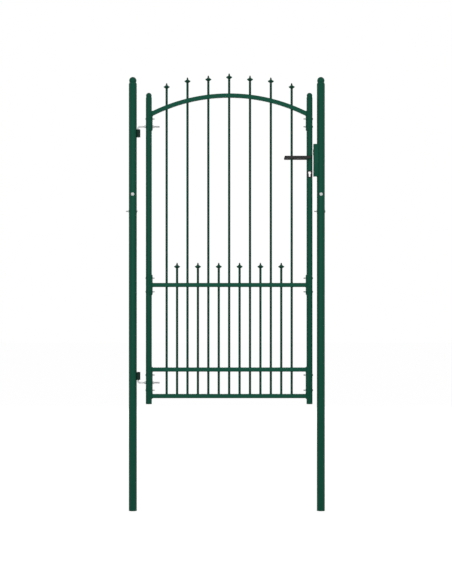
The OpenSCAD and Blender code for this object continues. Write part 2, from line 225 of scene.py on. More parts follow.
# Noise on the piece's own coordinates, with its scale in waves for each metre
def noiseOn(tree, scale, detail=2.0, stretch=None):
    place = tree.nodes.new("ShaderNodeTexCoord").outputs["Object"]
    if stretch:
        mapping = tree.nodes.new("ShaderNodeMapping")
        mapping.inputs["Scale"].default_value = stretch
        tree.links.new(place, mapping.inputs["Vector"])
        place = mapping.outputs["Vector"]
    noise = tree.nodes.new("ShaderNodeTexNoise")
    noise.inputs["Scale"].default_value = scale
    noise.inputs["Detail"].default_value = detail
    tree.links.new(place, noise.inputs["Vector"])
    return noise.outputs["Fac"]


def spreadTo(tree, value, low, high, target):
    spread = tree.nodes.new("ShaderNodeMapRange")
    spread.inputs["From Min"].default_value = 0.3
    spread.inputs["From Max"].default_value = 0.7
    spread.inputs["To Min"].default_value = low
    spread.inputs["To Max"].default_value = high
    tree.links.new(value, spread.inputs["Value"])
    tree.links.new(spread.outputs["Result"], target)


def mixTo(tree, value, low, high, target):
    mix = tree.nodes.new("ShaderNodeMix")
    mix.data_type = "RGBA"
    colors = [socket for socket in mix.inputs if socket.type == "RGBA"]
    colors[0].default_value = low + (1,)
    colors[1].default_value = high + (1,)
    factor = [socket for socket in mix.inputs if socket.type == "VALUE"][0]
    spreadTo(tree, value, 0.0, 1.0, factor)
    result = [socket for socket in mix.outputs if socket.type == "RGBA"][0]
    tree.links.new(result, target)


def bumpTo(tree, value, depth, shader):
    bump = tree.nodes.new("ShaderNodeBump")
    bump.inputs["Strength"].default_value = 1.0
    bump.inputs["Distance"].default_value = depth
    tree.links.new(value, bump.inputs["Height"])
    tree.links.new(bump.outputs["Normal"], shader.inputs["Normal"])


# Colour and roughness that change together along a pattern
def shadeBy(pattern, tree, shader, look):
    mixTo(tree, pattern, look["dark"], look["color"], shader.inputs["Base Color"])
    spreadTo(tree, pattern, *look["roughness"], shader.inputs["Roughness"])


def makeCoat(name, look):
    material, tree, shader = newFinish(name)
    shader.inputs["Specular IOR Level"].default_value = look["specular"]
    shader.inputs["Specular Tint"].default_value = look["tint"] + (1,)
    shadeBy(noiseOn(tree, look["blotch"], 3.0), tree, shader, look)
    bumpTo(tree, noiseOn(tree, look["peel"], 1.0), look["peelDepth"], shader)  # orange peel
    return material


def makeZinc(name, look):
    material, tree, shader = newFinish(name)
    shader.inputs["Metallic"].default_value = look["metal"]
    shadeBy(noiseOn(tree, look["blotch"], 3.0), tree, shader, look)
    bumpTo(tree, noiseOn(tree, look["grain"], 2.0), look["grainDepth"], shader)
    return material


def makeSteel(name, look):
    material, tree, shader = newFinish(name)
    shader.inputs["Metallic"].default_value = look["metal"]
    brush = noiseOn(tree, 1.0, 3.0, look["brush"])
    shadeBy(brush, tree, shader, look)
    bumpTo(tree, brush, look["brushDepth"], shader)
    return material


def makePlastic(name, look):
    material, tree, shader = newFinish(name)
    shader.inputs["Specular IOR Level"].default_value = look["specular"]
    shadeBy(noiseOn(tree, look["blotch"], 2.0), tree, shader, look)
    bumpTo(tree, noiseOn(tree, look["grain"], 2.0), look["grainDepth"], shader)
    return material


finishes = {
    "green_coat": makeCoat("greenPowderCoat", coatLook),
    # the sleeve coat is near-black, painted shade
    "sleeve_coat": makeCoat("sleeveCoatWithPaintedShade", shadedSleeveLook),
    "zinc_plate": makeZinc("brightZinc", zincLook),
    "lock_steel": makeSteel("brushedSteel", steelLook),
    "black_plastic": makePlastic("grainedBlackPlastic", plasticLook),
}
shadedBarFinish = makeCoat("greenBarCoatWithPaintedShade", shadedBarLook)  # a darker copy of the coat for the thin bars: painted shade for the shading on their round sides
# the latch's steel is made paler, painted light in its shaded gap
litLatchFinish = makeSteel("latchSteelWithPaintedLight", litLatchLook)
slotOf = {part["node"]: part["material_slot"] for part in frame["record"]["subparts"]}
for node, solid in frame["nodes"].items():
    for slot in solid.material_slots:
        # the pickets take the darker bar coat, painted shade
        slot.material = shadedBarFinish if "_picket_" in node else finishes[slotOf[node]]
print("finishes made:", len(finishes) + 2)


# Ways of modelling that several pieces share

facing = {
    "+X": (0, math.pi / 2, 0), "-X": (0, -math.pi / 2, 0),
    "+Y": (-math.pi / 2, 0, 0), "-Y": (math.pi / 2, 0, 0),
    "+Z": (0, 0, 0), "-Z": (math.pi, 0, 0),
}
smoothAngle = math.radians(35)
mergeWithin = 0.002 * mm


def selectOnly(*pieces):
    bpy.ops.object.select_all(action="DESELECT")
    for piece in pieces:
        piece.select_set(True)
    bpy.context.view_layer.objects.active = pieces[0]


def remove(*pieces):
    for piece in pieces:
        bpy.data.meshes.remove(piece.data)


# Names the active object and puts its place and turn into its mesh
def settle(name):
    piece = bpy.context.object
    piece.name = name
    piece.data.name = name
    bpy.ops.object.transform_apply(location=True, rotation=True, scale=True)
    return piece


# The piece's own +Z turns to face a way, and its own origin goes to a spot
def aim(piece, spot, way):
    selectOnly(piece)
    piece.rotation_euler = facing[way]
    piece.location = spot
    bpy.ops.object.transform_apply(location=True, rotation=True, scale=True)
    return piece


def modify(piece, kind, **settings):
    selectOnly(piece)
    modifier = piece.modifiers.new(kind.lower(), kind)
    for setting, value in settings.items():
        setattr(modifier, setting, value)
    bpy.ops.object.modifier_apply(modifier=modifier.name)


def bevelSharp(piece, width, segments=2, angle=50):
    modify(piece, "BEVEL", width=width, segments=segments, limit_method="ANGLE",
           angle_limit=math.radians(angle), use_clamp_overlap=True)


def leaveEdit():
    bpy.ops.object.mode_set(mode="OBJECT")


# Merges doubles and turns every face outwards, in edit mode
def faceOutwards():
    bpy.ops.mesh.select_all(action="SELECT")
    bpy.ops.mesh.remove_doubles(threshold=mergeWithin)
    bpy.ops.mesh.normals_make_consistent(inside=False)


def combine(piece, other, operation):
    modify(piece, "BOOLEAN", object=other, operation=operation, solver="EXACT")
    bpy.ops.object.mode_set(mode="EDIT")
    faceOutwards()
    leaveEdit()


def cutAway(piece, *cutters):
    for cutter in cutters:
        combine(piece, cutter, "DIFFERENCE")
        remove(cutter)


def smooth(piece, angle=smoothAngle):
    selectOnly(piece)
    bpy.ops.object.shade_smooth_by_angle(angle=angle)
    return piece


def dress(piece, body, slot, *nodes, finish=None):
    piece.data.materials.clear()
    piece.data.materials.append(finish or finishes[slot])
    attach(piece, body)
    if nodes:
        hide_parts(*nodes)
    return piece


def joined(name, pieces):
    selectOnly(*pieces)
    if len(pieces) > 1:
        bpy.ops.object.join()
    return settle(name)


# A joined piece made of copies of a model, one at each (spot, way), and the model goes
def copies(model, name, places):
    made = []
    for spot, way in places:
        selectOnly(model)
        bpy.ops.object.duplicate()
        made.append(aim(bpy.context.object, spot, way))
    remove(model)
    return joined(name, made)


# Turns a piece over to the back, through an upright plane that a spot lies in
def mirrorToBack(piece, spot):
    selectOnly(piece)
    bpy.ops.object.mode_set(mode="EDIT")
    bpy.ops.mesh.select_all(action="SELECT")
    bpy.ops.transform.mirror(constraint_axis=(False, True, False), center_override=spot)
    bpy.ops.mesh.normals_make_consistent(inside=False)
    leaveEdit()
    return piece


# Goes to edit mode with the faces selected that pass a test of their middle and normal
def pickFaces(piece, test):
    selectOnly(piece)
    bpy.ops.object.mode_set(mode="EDIT")
    bpy.ops.mesh.select_mode(type="FACE")
    bpy.ops.mesh.select_all(action="DESELECT")
    bpy.ops.object.mode_set(mode="OBJECT")
    for face in piece.data.polygons:
        face.select = test(face.center, face.normal)
    bpy.ops.object.mode_set(mode="EDIT")


# The same with the edges selected whose two ends pass a test
def pickEdges(piece, test):
    selectOnly(piece)
    bpy.ops.object.mode_set(mode="EDIT")
    bpy.ops.mesh.select_mode(type="EDGE")
    bpy.ops.mesh.select_all(action="DESELECT")
    bpy.ops.object.mode_set(mode="OBJECT")
    points = piece.data.vertices
    for edge in piece.data.edges:
        edge.select = test(points[edge.vertices[0]].co, points[edge.vertices[1]].co)
    bpy.ops.object.mode_set(mode="EDIT")


# Points on an arc in a plane, from one angle to another in degrees, both ends included
def arc(centre, radius, start, end, count):
    angles = [math.radians(start + (end - start) * k / (count - 1)) for k in range(count)]
    return [(centre[0] + radius * math.cos(a), centre[1] + radius * math.sin(a)) for a in angles]


# A chain of edges through points, drawn from one vertex and left in edit mode
def drawPath(name, points):
    bpy.ops.object.select_all(action="DESELECT")
    bpy.ops.mesh.primitive_plane_add(size=mm)
    settle(name)
    bpy.ops.object.mode_set(mode="EDIT")
    bpy.ops.mesh.select_mode(type="VERT")
    bpy.ops.mesh.select_all(action="SELECT")
    bpy.ops.mesh.merge(type="CENTER")
    bpy.ops.transform.translate(value=points[0])
    for start, end in zip(points, points[1:]):
        step = Vector(end) - Vector(start)
        bpy.ops.mesh.extrude_vertices_move(TRANSFORM_OT_translate={"value": step})
    return bpy.context.object


# A body of revolution round its own Z axis from an outline of (radius, height) points
def turned(name, outline, steps=48):
    piece = drawPath(name, [(radius, 0, height) for radius, height in outline])
    bpy.ops.mesh.select_all(action="SELECT")
    bpy.ops.mesh.spin(steps=steps, angle=2 * math.pi, center=(0, 0, 0), axis=(0, 0, 1))
    faceOutwards()
    leaveEdit()
    return smooth(piece)


# A plate in its own XY plane from a closed outline of (x, y) points, pulled up to its thickness
def plate(name, outline, thickness):
    piece = drawPath(name, [(x, y, 0) for x, y in outline + outline[:1]])
    bpy.ops.mesh.select_all(action="SELECT")
    bpy.ops.mesh.remove_doubles(threshold=mergeWithin)
    bpy.ops.mesh.edge_face_add()
    bpy.ops.mesh.extrude_region_move(TRANSFORM_OT_translate={"value": (0, 0, thickness)})
    faceOutwards()
    leaveEdit()
    return piece


# Points on a curve that leaves its start towards pull and comes to its end from there
def bow(start, pull, end, count):
    made = []
    for k in range(count):
        t = k / (count - 1)
        made.append(tuple((1 - t) ** 2 * a + 2 * t * (1 - t) * b + t * t * c
                          for a, b, c in zip(start, pull, end)))
    return made


# A round bar along a path, closed where the path ends at its start;
# a weld bead ripples, and thins out towards free ends
def barAlong(name, path, radius, ripple=0.0, waves=0, resolution=2):
    piece = drawPath(name, path)
    bpy.ops.mesh.select_all(action="SELECT")
    bpy.ops.mesh.remove_doubles(threshold=mergeWithin)
    leaveEdit()
    bpy.ops.object.convert(target="CURVE")
    curve = bpy.context.object.data
    curve.bevel_depth = radius
    curve.bevel_resolution = resolution
    curve.use_fill_caps = True
    spline = curve.splines[0]
    last = len(spline.points) - 1
    for k, point in enumerate(spline.points):
        point.radius = 1 + ripple * math.sin(2 * math.pi * waves * k / len(spline.points))
        if ripple and not spline.use_cyclic_u:
            point.radius *= min(1, 0.4 + 0.3 * min(k, last - k))
    bpy.ops.object.convert(target="MESH")
    piece = bpy.context.object
    bpy.ops.object.mode_set(mode="EDIT")
    faceOutwards()
    leaveEdit()
    return smooth(piece)


# A screw thread up its own Z axis, cut off square at 0 and at its length
def thread(name, crest, pitch, length, steps=20):
    root = crest - 0.6 * pitch
    tooth = [(root, 0), (crest, 0.44 * pitch), (crest, 0.56 * pitch), (root, pitch)]
    low = -1.013 * pitch  # so that no corner of a tooth lies just where the thread is cut off
    piece = drawPath(name, [(radius, 0, low + height) for radius, height in tooth])
    leaveEdit()
    turns = math.ceil(length / pitch) + 2
    modify(piece, "SCREW", angle=2 * math.pi, screw_offset=pitch, iterations=turns,
           steps=steps, render_steps=steps)
    bpy.ops.object.mode_set(mode="EDIT")
    faceOutwards()
    for height, way in ((0, -1), (length, 1)):
        bpy.ops.mesh.select_all(action="SELECT")
        bpy.ops.mesh.bisect(plane_co=(0, 0, height), plane_no=(0, 0, way), use_fill=True,
                            clear_outer=True, threshold=0.001 * mm)
    faceOutwards()
    leaveEdit()
    return smooth(piece)


# A hexagon nut on its own Z axis from 0 to its height, with bevelled corners and a countersunk bore
def hexNut(name, acrossFlats, height, bore):
    corner = acrossFlats / math.sqrt(3)
    bpy.ops.object.select_all(action="DESELECT")
    bpy.ops.mesh.primitive_cylinder_add(
        vertices=6, radius=corner, depth=2 * height, end_fill_type="NGON",
        location=(0, 0, height / 2))
    nut = settle(name)
    flat = 0.95 * acrossFlats / 2  # radius of the flat ring on each end
    low = (corner + mm - flat) * math.tan(math.radians(28))
    lens = turned("nutLens", [
        (0, 0), (flat, 0), (corner + mm, low),
        (corner + mm, height - low), (flat, height), (0, height)], 36)
    combine(nut, lens, "INTERSECT")
    remove(lens)
    sink = 0.12 * height
    drill = turned("nutDrill", [
        (0, -mm), (bore + sink + mm, -mm), (bore, sink),
        (bore, height - sink), (bore + sink + mm, height + mm), (0, height + mm)], 24)
    cutAway(nut, drill)
    return smooth(nut, math.radians(25))


print("modelling tools ready")


# Tubes of the posts and stiles

tube = {"sides": 64, "wall": 2 * mm, "rim": 0.5 * mm}


def roundTube(name, node, radius):
    low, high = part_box(node)
    bpy.ops.object.select_all(action="DESELECT")
    bpy.ops.mesh.primitive_cylinder_add(
        vertices=tube["sides"], radius=radius, depth=high.z - low.z,
        end_fill_type="NOTHING", location=(low + high) / 2)
    piece = settle(name)
    modify(piece, "SOLIDIFY", thickness=tube["wall"], offset=-1)
    bevelSharp(piece, tube["rim"])
    return smooth(piece)


for node in ("hinge_post", "latch_post"):
    dress(roundTube(node.replace("_post", "PostTube"), node, postRadius), "posts", "green_coat", node)
print("posts made")


# Ball caps: a plug in the tube, a shoulder that slopes up to a small chamfer, and a ball

postCap = {
    "tube": 24 * mm, "plug": 21.9 * mm, "plugDepth": 18 * mm, "lip": 5.0 * mm,
    "ball": 22 * mm, "ballUp": 25 * mm, "neckDrop": 0.45,
}
stileCap = {
    "tube": 18 * mm, "plug": 15.9 * mm, "plugDepth": 18 * mm, "lip": 6.0 * mm,
    "ball": 17 * mm, "ballUp": 20 * mm, "neckDrop": 0.38,
}


def ballCap(name, size):
    drop = math.asin(size["neckDrop"])
    neck = size["ball"] * math.cos(drop)
    neckZ = size["ballUp"] - size["neckDrop"] * size["ball"]
    edge = 0.6 * mm
    outline = [(0, -size["plugDepth"]), (size["plug"] - mm, -size["plugDepth"])]
    outline += [(size["plug"], mm - size["plugDepth"]), (size["plug"], 0)]
    outline += arc((size["tube"] - edge, edge), edge, -90, 0, 4)
    outline += arc((size["tube"] - edge, size["lip"] - edge / 2), edge, 0, 50, 4)
    outline += [(neck + 0.4 * mm, neckZ - 0.9 * mm), (neck - 0.2 * mm, neckZ)]
    outline += arc((0, size["ballUp"]), size["ball"], 3 - math.degrees(drop), 90, 22)
    return turned(name, outline, 64)


dress(copies(ballCap("capModel", postCap), "postBallCaps", [
    ((x, 0, postTopZ), "+Z") for x in (hingePostX, latchPostX)]), "posts", "green_coat", "post_caps")
dress(copies(ballCap("capModel", stileCap), "stileBallCaps", [
    ((x, 0, stileTopZ), "+Z") for x in (hingeStileX, latchStileX)]), "leaf", "green_coat", "stile_caps")
print("ball caps made")


# Stiles, with the lock's holes in the latch stile

keyhole = {"round": 8.75 * mm, "slot": 5.25 * mm, "drop": 19.5 * mm, "reach": 40 * mm}
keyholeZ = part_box("cylinder_roses")[1].z - 14 * mm
forend = {"halfWide": 9 * mm, "corner": 3 * mm, "thick": 3 * mm, "gap": 0.2 * mm}
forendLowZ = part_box("lock_case")[0].z
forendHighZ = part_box("lock_case")[1].z


def keyholeCutter():
    half = math.degrees(math.asin(keyhole["slot"] / keyhole["round"]))
    outline = arc((0, 0), keyhole["round"], -90 + half, 270 - half, 36)
    outline += arc((0, -keyhole["drop"]), keyhole["slot"], 180, 360, 16)
    cutter = plate("keyholeCutter", outline, 2 * keyhole["reach"])
    return aim(cutter, (latchStileX, keyhole["reach"], keyholeZ), "-Y")


# A block with round corners in front of the latch stile's axis, the forend's size and more
def forendBlock(more):
    half = forend["halfWide"] + more
    low = forendLowZ - more
    high = forendHighZ + more
    corner = forend["corner"] + more
    outline = arc((-high + corner, half - corner), corner, 90, 180, 6)
    outline += arc((-high + corner, corner - half), corner, 180, 270, 6)
    outline += arc((-low - corner, corner - half), corner, 270, 360, 6)
    outline += arc((-low - corner, half - corner), corner, 0, 90, 6)
    return aim(plate("forendBlock", outline, 2 * stileRadius), (latchStileX, 0, 0), "+X")


hingeStile = roundTube("hingeStileTube", "hinge_stile", stileRadius)
latchStile = roundTube("latchStileTube", "latch_stile", stileRadius)
cutAway(latchStile, keyholeCutter(), forendBlock(forend["gap"]))
dress(hingeStile, "leaf", "green_coat", "hinge_stile")
dress(smooth(latchStile), "leaf", "green_coat", "latch_stile")
print("stiles made")


# Rails: square tube with round edges, ending inside the saddles

rail = {
    "wall": 1.5 * mm, "edge": 2.5 * mm, "edgeSteps": 4, "endIn": 18.5 * mm,
    "archRadius": 1038 * mm, "archSteps": 120,
}
archTop = archTopZ - railHalf
archCentre = Vector((gateMiddleX, 0, archTop - rail["archRadius"]))
railStart = hingeStileX + rail["endIn"]
railEnd = latchStileX - rail["endIn"]


def straightRail(name, node):
    height = middleOf(node).z
    bpy.ops.object.select_all(action="DESELECT")
    bpy.ops.mesh.primitive_cube_add(
        size=1, location=((railStart + railEnd) / 2, 0, height),
        scale=(railEnd - railStart, 2 * railHalf, 2 * railHalf))
    piece = settle(name)
    pickFaces(piece, lambda middle, normal: abs(normal.x) > 0.9)
    bpy.ops.mesh.delete(type="FACE")
    leaveEdit()
    pickEdges(piece, lambda a, b: abs(a.x - b.x) > mm)
    bpy.ops.mesh.bevel(offset=rail["edge"], segments=rail["edgeSteps"])
    leaveEdit()
    modify(piece, "SOLIDIFY", thickness=rail["wall"], offset=-1)
    return smooth(piece, math.radians(25))


def archedRail(name):
    bpy.ops.object.select_all(action="DESELECT")
    bpy.ops.mesh.primitive_plane_add(
        size=2 * railHalf, location=(gateMiddleX, 0, archTop), rotation=(0, math.pi / 2, 0))
    piece = settle(name)
    bpy.ops.object.mode_set(mode="EDIT")
    bpy.ops.mesh.select_all(action="SELECT")
    bpy.ops.mesh.bevel(offset=rail["edge"], segments=rail["edgeSteps"], affect="VERTICES")
    bpy.ops.mesh.select_all(action="SELECT")
    bpy.ops.mesh.delete(type="ONLY_FACE")
    bpy.ops.mesh.select_all(action="SELECT")
    half = math.asin((latchStileX - gateMiddleX) / rail["archRadius"])
    bpy.ops.transform.rotate(value=-half, orient_axis="Y", center_override=archCentre)
    bpy.ops.mesh.spin(steps=rail["archSteps"], angle=2 * half, center=archCentre, axis=(0, 1, 0))
    faceOutwards()
    for edge, way in ((railStart, -1), (railEnd, 1)):
        bpy.ops.mesh.select_all(action="SELECT")
        bpy.ops.mesh.bisect(plane_co=(edge, 0, 0), plane_no=(way, 0, 0), clear_outer=True)
    leaveEdit()
    modify(piece, "SOLIDIFY", thickness=rail["wall"], offset=-1)
    return smooth(piece, math.radians(25))


for node in straightRails:
    dress(straightRail(node.replace("_rail", "RailTube"), node), "leaf", "green_coat", node)
dress(archedRail("archedRailTube"), "leaf", "green_coat", "arched_rail")
print("rails made")


# Saddles: curved plates between the stiles and the rails' ends

saddle = {"thick": 5 * mm, "arc": 156, "taper": 6 * mm, "steps": 36, "edge": 0.8 * mm}
saddleSpans = [(668 * mm, 866 * mm), (1292 * mm, 1418 * mm), (2277 * mm, 2402 * mm)]
saddleRadius = stileRadius + saddle["thick"]


def saddlePlate(x, middleAngle, span):
    low, high = span
    start = math.radians(middleAngle + saddle["arc"] / 2)  # spin runs clockwise
    section = [(stileRadius, low), (saddleRadius, low + saddle["taper"])]
    section += [(saddleRadius, high - saddle["taper"]), (stileRadius, high), (stileRadius, low)]
    piece = drawPath("saddlePlate", [
        (x + radius * math.cos(start), radius * math.sin(start), z) for radius, z in section])
    bpy.ops.mesh.select_all(action="SELECT")
    bpy.ops.mesh.remove_doubles(threshold=mergeWithin)
    bpy.ops.mesh.edge_face_add()
    bpy.ops.mesh.spin(
        steps=saddle["steps"], angle=math.radians(saddle["arc"]), center=(x, 0, 0), axis=(0, 0, 1))
    faceOutwards()
    leaveEdit()
    bevelSharp(piece, saddle["edge"], 2, 30)
    return piece


for side, x, middleAngle in (("hinge", hingeStileX, 0), ("latch", latchStileX, 180)):
    plates = [saddlePlate(x, middleAngle, span) for span in saddleSpans]
    dress(smooth(joined(side + "SidePlates", plates), math.radians(25)),
          "leaf", "green_coat", side + "_stile_saddles")
print("saddles made")


# Spears on the pickets: a neck, a flared foot, a round-edged collar and a blade, in millimetres

spear = {
    "neck": 6.0, "neckTop": 1.0, "flarePull": (10.2, 4.6), "flareEnd": (17.2, 9.4),
    "rim": 1.4, "rimAts": ((16.6, 10.6), (16.6, 13.6)),
    "dishStart": (17.1, 14.9), "dishPull": (10.0, 17.6),
    "bladeFoot": (5.2, 23.5), "bladePull": (4.9, 29.5), "bladeTop": (3.3, 33.0),
    "pointPull": (2.4, 34.6), "pointEnd": (0.7, 35.5), "tipEdge": (0.4, 35.85), "tip": (0, 36),
}


def spearModel():
    outline = [(0, 0), (spear["neck"], 0)]
    outline += bow((spear["neck"], spear["neckTop"]), spear["flarePull"], spear["flareEnd"], 8)
    outline += arc(spear["rimAts"][0], spear["rim"], -55, 0, 4)
    outline += arc(spear["rimAts"][1], spear["rim"], 0, 60, 4)
    outline += bow(spear["dishStart"], spear["dishPull"], spear["bladeFoot"], 8)[1:]
    outline += bow(spear["bladeFoot"], spear["bladePull"], spear["bladeTop"], 6)[1:]
    outline += bow(spear["bladeTop"], spear["pointPull"], spear["pointEnd"], 4)[1:]
    outline += [spear["tipEdge"], spear["tip"]]
    return turned("spearModel", [(r * mm, z * mm) for r, z in outline], 32)


# the spears take the darker bar coat too, painted shade
for node, xs in (("long", longPicketXs), ("short", shortPicketXs)):
    feet = [((x, 0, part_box(node + "_picket_" + str(k + 1))[1].z), "+Z") for k, x in enumerate(xs)]
    dress(copies(spearModel(), node + "PicketSpears", feet),
          "leaf", "green_coat", node + "_spears", finish=shadedBarFinish)
print("spears made")


# Welds: a bead round each picket at the rails and round each rail's end on its saddle

weld = {
    "picketBead": 1.5 * mm, "picketPoints": 36, "picketWaves": 9,
    "endBead": 2.2 * mm, "endWaves": 26, "sideParts": 10, "ripple": 0.13,
    "sleeveBead": 2.8 * mm, "boxBead": 2.4 * mm, "wave": 3.4 * mm,
}


# Height of a rail's surface at x, up from its middle line where up is above 0; the arch is round
def railHeight(node, x, up):
    if node == "arched_rail":
        return archCentre.z + math.sqrt((rail["archRadius"] + up) ** 2 - (x - archCentre.x) ** 2)
    return middleOf(node).z + up


def picketBead(x, node, up):
    count = weld["picketPoints"]
    turns = [2 * math.pi * k / count for k in range(count + 1)]
    path = [(x + picketRadius * math.cos(a), picketRadius * math.sin(a)) for a in turns]
    return barAlong("picketBead", [(px, py, railHeight(node, px, up)) for px, py in path],
                    weld["picketBead"], weld["ripple"], weld["picketWaves"])


def railEndBead(x, inwards, node):
    side = railHalf - rail["edge"]
    outline = []
    corners = ((side, side), (-side, side), (-side, -side), (side, -side))
    parts = weld["sideParts"]
    for quarter, (y, up) in enumerate(corners):
        outline += arc((y, up), rail["edge"], 90 * quarter, 90 * quarter + 90, 5)
        turn = math.radians(90 * quarter + 90)
        end = outline[-1]
        outline += [(end[0] - math.sin(turn) * 2 * side * k / parts,
                     end[1] + math.cos(turn) * 2 * side * k / parts) for k in range(1, parts)]
    path = []
    for y, up in outline + outline[:1]:
        px = x + inwards * math.sqrt(saddleRadius ** 2 - y ** 2)
        path.append((px, y, railHeight(node, px, up)))
    return barAlong("railEndBead", path, weld["endBead"], weld["ripple"], weld["endWaves"])


flatBead = picketBead(0, "bottom_rail", railHalf)
flatPlaces = []
for node in straightRails:
    xs = longPicketXs + shortPicketXs
    top = middleOf(node).z - middleOf("bottom_rail").z
    flatPlaces += [((x, 0, top), "+Z") for x in xs]
    if node != "bottom_rail":
        flatPlaces += [((x, 0, top - 2 * railHalf), "+Z") for x in xs]
dress(copies(flatBead, "picketWelds", flatPlaces), "leaf", "green_coat")
archBeads = [picketBead(x, "arched_rail", up) for x in longPicketXs for up in (railHalf, -railHalf)]
dress(joined("archPicketWelds", archBeads), "leaf", "green_coat")
endBeads = [railEndBead(x, inwards, node) for node in straightRails + ("arched_rail",)
            for x, inwards in ((hingeStileX, 1), (latchStileX, -1))]
dress(joined("railEndWelds", endBeads), "leaf", "green_coat")
print("rail welds made")


# Hinge sleeves, welded to the post

sleeve = {
    "radius": 13.35 * mm, "bore": 5.1 * mm, "edge": 1.0 * mm, "boreEdge": 0.8 * mm,
    "sunk": 0.5 * mm, "cutterTall": 3.0,
}
pinX = 32 * mm


# A post's round face, a little inside it, for pieces that are fitted to a post
def postCutter(x, sunk):
    bpy.ops.object.select_all(action="DESELECT")
    bpy.ops.mesh.primitive_cylinder_add(
        vertices=128, radius=postRadius - sunk, depth=sleeve["cutterTall"],
        end_fill_type="NGON", location=(x, 0, sleeve["cutterTall"] / 2))
    return settle("postCutter")


def sleeveTube(name, node):
    low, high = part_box(node)
    height = high.z - low.z
    edge = sleeve["edge"]
    boreEdge = sleeve["boreEdge"]
    piece = turned(name, [
        (sleeve["bore"] + boreEdge, 0), (sleeve["radius"] - edge, 0), (sleeve["radius"], edge),
        (sleeve["radius"], height - edge), (sleeve["radius"] - edge, height),
        (sleeve["bore"] + boreEdge, height), (sleeve["bore"], height - boreEdge),
        (sleeve["bore"], boreEdge), (sleeve["bore"] + boreEdge, 0)], 64)
    aim(piece, (pinX, 0, low.z), "+Z")
    cutAway(piece, postCutter(hingePostX, sleeve["sunk"]))
    return smooth(piece)


def sleeveBeads(node):
    low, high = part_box(node)
    apart = pinX - hingePostX
    x = (apart ** 2 + postRadius ** 2 - sleeve["radius"] ** 2) / (2 * apart)
    y = math.sqrt(postRadius ** 2 - x ** 2)
    count = round((high.z - low.z) / mm)
    waves = (high.z - low.z) / weld["wave"]
    return [barAlong("sleeveBead", [
        (hingePostX + x, side * y, low.z + (k + 1) * mm) for k in range(count - 1)],
        weld["sleeveBead"], weld["ripple"], waves) for side in (-1, 1)]


for node in ("upper_hinge_sleeve", "lower_hinge_sleeve"):
    dress(sleeveTube(node.replace("_hinge_sleeve", "HingeSleeve"), node), "posts", "sleeve_coat", node)
# the beads sit in the crevice between sleeve and post and take the near-black sleeve coat, painted shade
# there
sleeveWelds = sleeveBeads("upper_hinge_sleeve") + sleeveBeads("lower_hinge_sleeve")
dress(joined("sleeveWelds", sleeveWelds), "posts", "sleeve_coat")
print("hinge sleeves made")


# Strike box on the latch post: a bent plate box with a slot for the latch

strike = {
    "halfWide": 20 * mm, "wall": 2 * mm, "corner": 6 * mm, "slotHalfHigh": 20 * mm,
    "slotHalfWide": 9 * mm, "slotCorner": 3 * mm, "edge": 0.5 * mm, "sunk": 0.5 * mm,
}


def strikeBox(name):
    low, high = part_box("strike_box")
    back = latchPostX - 5 * mm
    bpy.ops.object.select_all(action="DESELECT")
    bpy.ops.mesh.primitive_cube_add(
        size=1, location=((low.x + back) / 2, 0, (low.z + high.z) / 2),
        scale=(back - low.x, 2 * strike["halfWide"], high.z - low.z))
    box = settle(name)
    halfWide = strike["slotHalfWide"]
    halfHigh = strike["slotHalfHigh"]
    cuts = [((0, side * halfWide, 0), (0, 1, 0)) for side in (-1, 1)]
    cuts += [((0, 0, latchZ + side * halfHigh), (0, 0, 1)) for side in (-1, 1)]
    for spot, way in cuts:
        pickFaces(box, lambda middle, normal: normal.x < -0.9)
        bpy.ops.mesh.bisect(plane_co=spot, plane_no=way)
        leaveEdit()
    pickFaces(box, lambda middle, normal: normal.x > 0.9 or (
        normal.x < -0.9 and abs(middle.y) < halfWide and abs(middle.z - latchZ) < halfHigh))
    bpy.ops.mesh.delete(type="FACE")
    leaveEdit()
    pickEdges(box, lambda a, b: max(a.x, b.x) < low.x + mm and abs(a.z - b.z) > mm
              and min(abs(a.y), abs(b.y)) > 0.9 * strike["halfWide"])
    bpy.ops.mesh.bevel(offset=strike["corner"], segments=6)
    leaveEdit()
    modify(box, "SOLIDIFY", thickness=strike["wall"], offset=-1)
    pickEdges(box, lambda a, b: abs(a.x - b.x) > mm and max(a.x, b.x) < low.x + 2 * strike["wall"]
              and max(abs(abs(a.y) - halfWide), abs(abs(b.y) - halfWide)) < 0.1 * mm
              and abs(abs(a.z - latchZ) - halfHigh) < 0.1 * mm)
    bpy.ops.mesh.bevel(offset=strike["slotCorner"], segments=4)
    leaveEdit()
    cutAway(box, postCutter(latchPostX, strike["sunk"]))
    bevelSharp(box, strike["edge"])
    return smooth(box)


def strikeBead():
    low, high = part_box("strike_box")
    half = strike["halfWide"]
    lean = math.degrees(math.asin(half / postRadius))
    turn = arc((latchPostX, 0), postRadius, 180 + lean, 180 - lean, 44)
    count = round((high.z - low.z) / mm)
    path = [(x, y, high.z) for x, y in turn]
    path += [(turn[-1][0], half, high.z - k * mm) for k in range(1, count)]
    path += [(x, y, low.z) for x, y in reversed(turn)]
    path += [(turn[0][0], -half, low.z + k * mm) for k in range(1, count)]
    waves = len(path) * mm / weld["wave"]
    return barAlong("strikeWeld", path + path[:1], weld["boxBead"], weld["ripple"], waves)


dress(strikeBox("strikeBox"), "posts", "green_coat", "strike_box")
dress(strikeBead(), "posts", "green_coat")
print("strike box made")


# Carriage bolts and nuts on the posts and on the leaf's clamps

